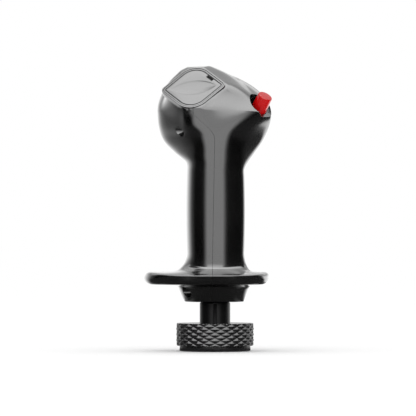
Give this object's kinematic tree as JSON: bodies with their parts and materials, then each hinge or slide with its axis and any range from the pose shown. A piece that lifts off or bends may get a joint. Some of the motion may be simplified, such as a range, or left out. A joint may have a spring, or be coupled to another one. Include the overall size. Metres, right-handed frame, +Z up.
{
  "type": "flight simulator sidestick grip",
  "caption": "Left-hand flight simulator sidestick grip with a dished thumb plate over a hat switch, a red push button, a front trigger, a hand rest and a knurled coupling nut.",
  "frame": {"origin": "centre of the mouth of the coupling nut's thread, on the stem's axis", "axes": "+Z up along the stem and handle, +X to the pilot's right, +Y forward"},
  "size_m": [0.072, 0.0678, 0.1611],
  "materials": {
    "shell": "moulded black plastic with a soft gloss",
    "plate": "moulded black plastic",
    "red": "moulded red plastic",
    "black": "black plastic",
    "board": "green circuit board",
    "natural": "natural plastic",
    "stem": "black anodised aluminium",
    "nut": "black anodised aluminium, knurled",
    "steel": "steel",
    "brass": "brass",
    "cable": "black cable jacket"
  },
  "bodies": {
    "grip": {"left_shell": "shell", "right_shell": "shell", "shell_screws": "steel", "threaded_inserts": "brass", "hat_frame": "plate", "plate_magnets": "steel", "hat_base": "black", "button_spring": "steel", "button_switch": "black", "button_board": "board", "trigger_pin": "steel", "trigger_spring": "steel", "trigger_switch": "black", "main_board": "board", "board_header": "natural", "signal_cable": "cable", "stem": "stem", "connector_block": "black", "contact_sleeves": "brass"},
    "plate": {"thumb_plate": "plate", "plate_keepers": "steel"},
    "nut": {"coupling_nut": "nut"},
    "button": {"takeover_button": "red"},
    "trigger": {"trigger": "shell"},
    "gimbal": {"hat_gimbal": "natural"},
    "hat": {"hat_cap": "black"}
  },
  "joints": [
    {"name": "nut_spin", "type": "hinge", "parent": "grip", "child": "nut", "pos_m": [0, 0, 0], "axis": [0, 0, 1], "continuous": true},
    {"name": "button_press", "type": "slide", "parent": "grip", "child": "button", "axis": [-0.4212, 0.4376, -0.7944], "range_m": [0, 0.0025], "stiffness_N_per_m": 700, "springref_m": -0.002, "deforming": ["button_spring"]},
    {"name": "trigger_pull", "type": "hinge", "parent": "grip", "child": "trigger", "pos_m": [0, 0.023, 0.1298], "axis": [-1, 0, 0], "range_deg": [0, 8], "stiffness_Nm_per_rad": 0.6, "springref_deg": -5.73, "deforming": ["trigger_spring"]},
    {"name": "plate_lift", "type": "slide", "parent": "grip", "child": "plate", "axis": [-0.2192, -0.7547, 0.6184], "range_m": [0, 0.03]},
    {"name": "hat_tilt_a", "type": "hinge", "parent": "grip", "child": "gimbal", "pos_m": [-0.00948, -0.00184, 0.14083], "axis": [0.9729, -0.2165, 0.0808], "range_deg": [-8, 8], "stiffness_Nm_per_rad": 0.05},
    {"name": "hat_tilt_b", "type": "hinge", "parent": "gimbal", "child": "hat", "pos_m": [-0.00948, -0.00184, 0.14083], "axis": [0.0729, 0.6194, 0.7817], "range_deg": [-8, 8], "stiffness_Nm_per_rad": 0.05}
  ]
}
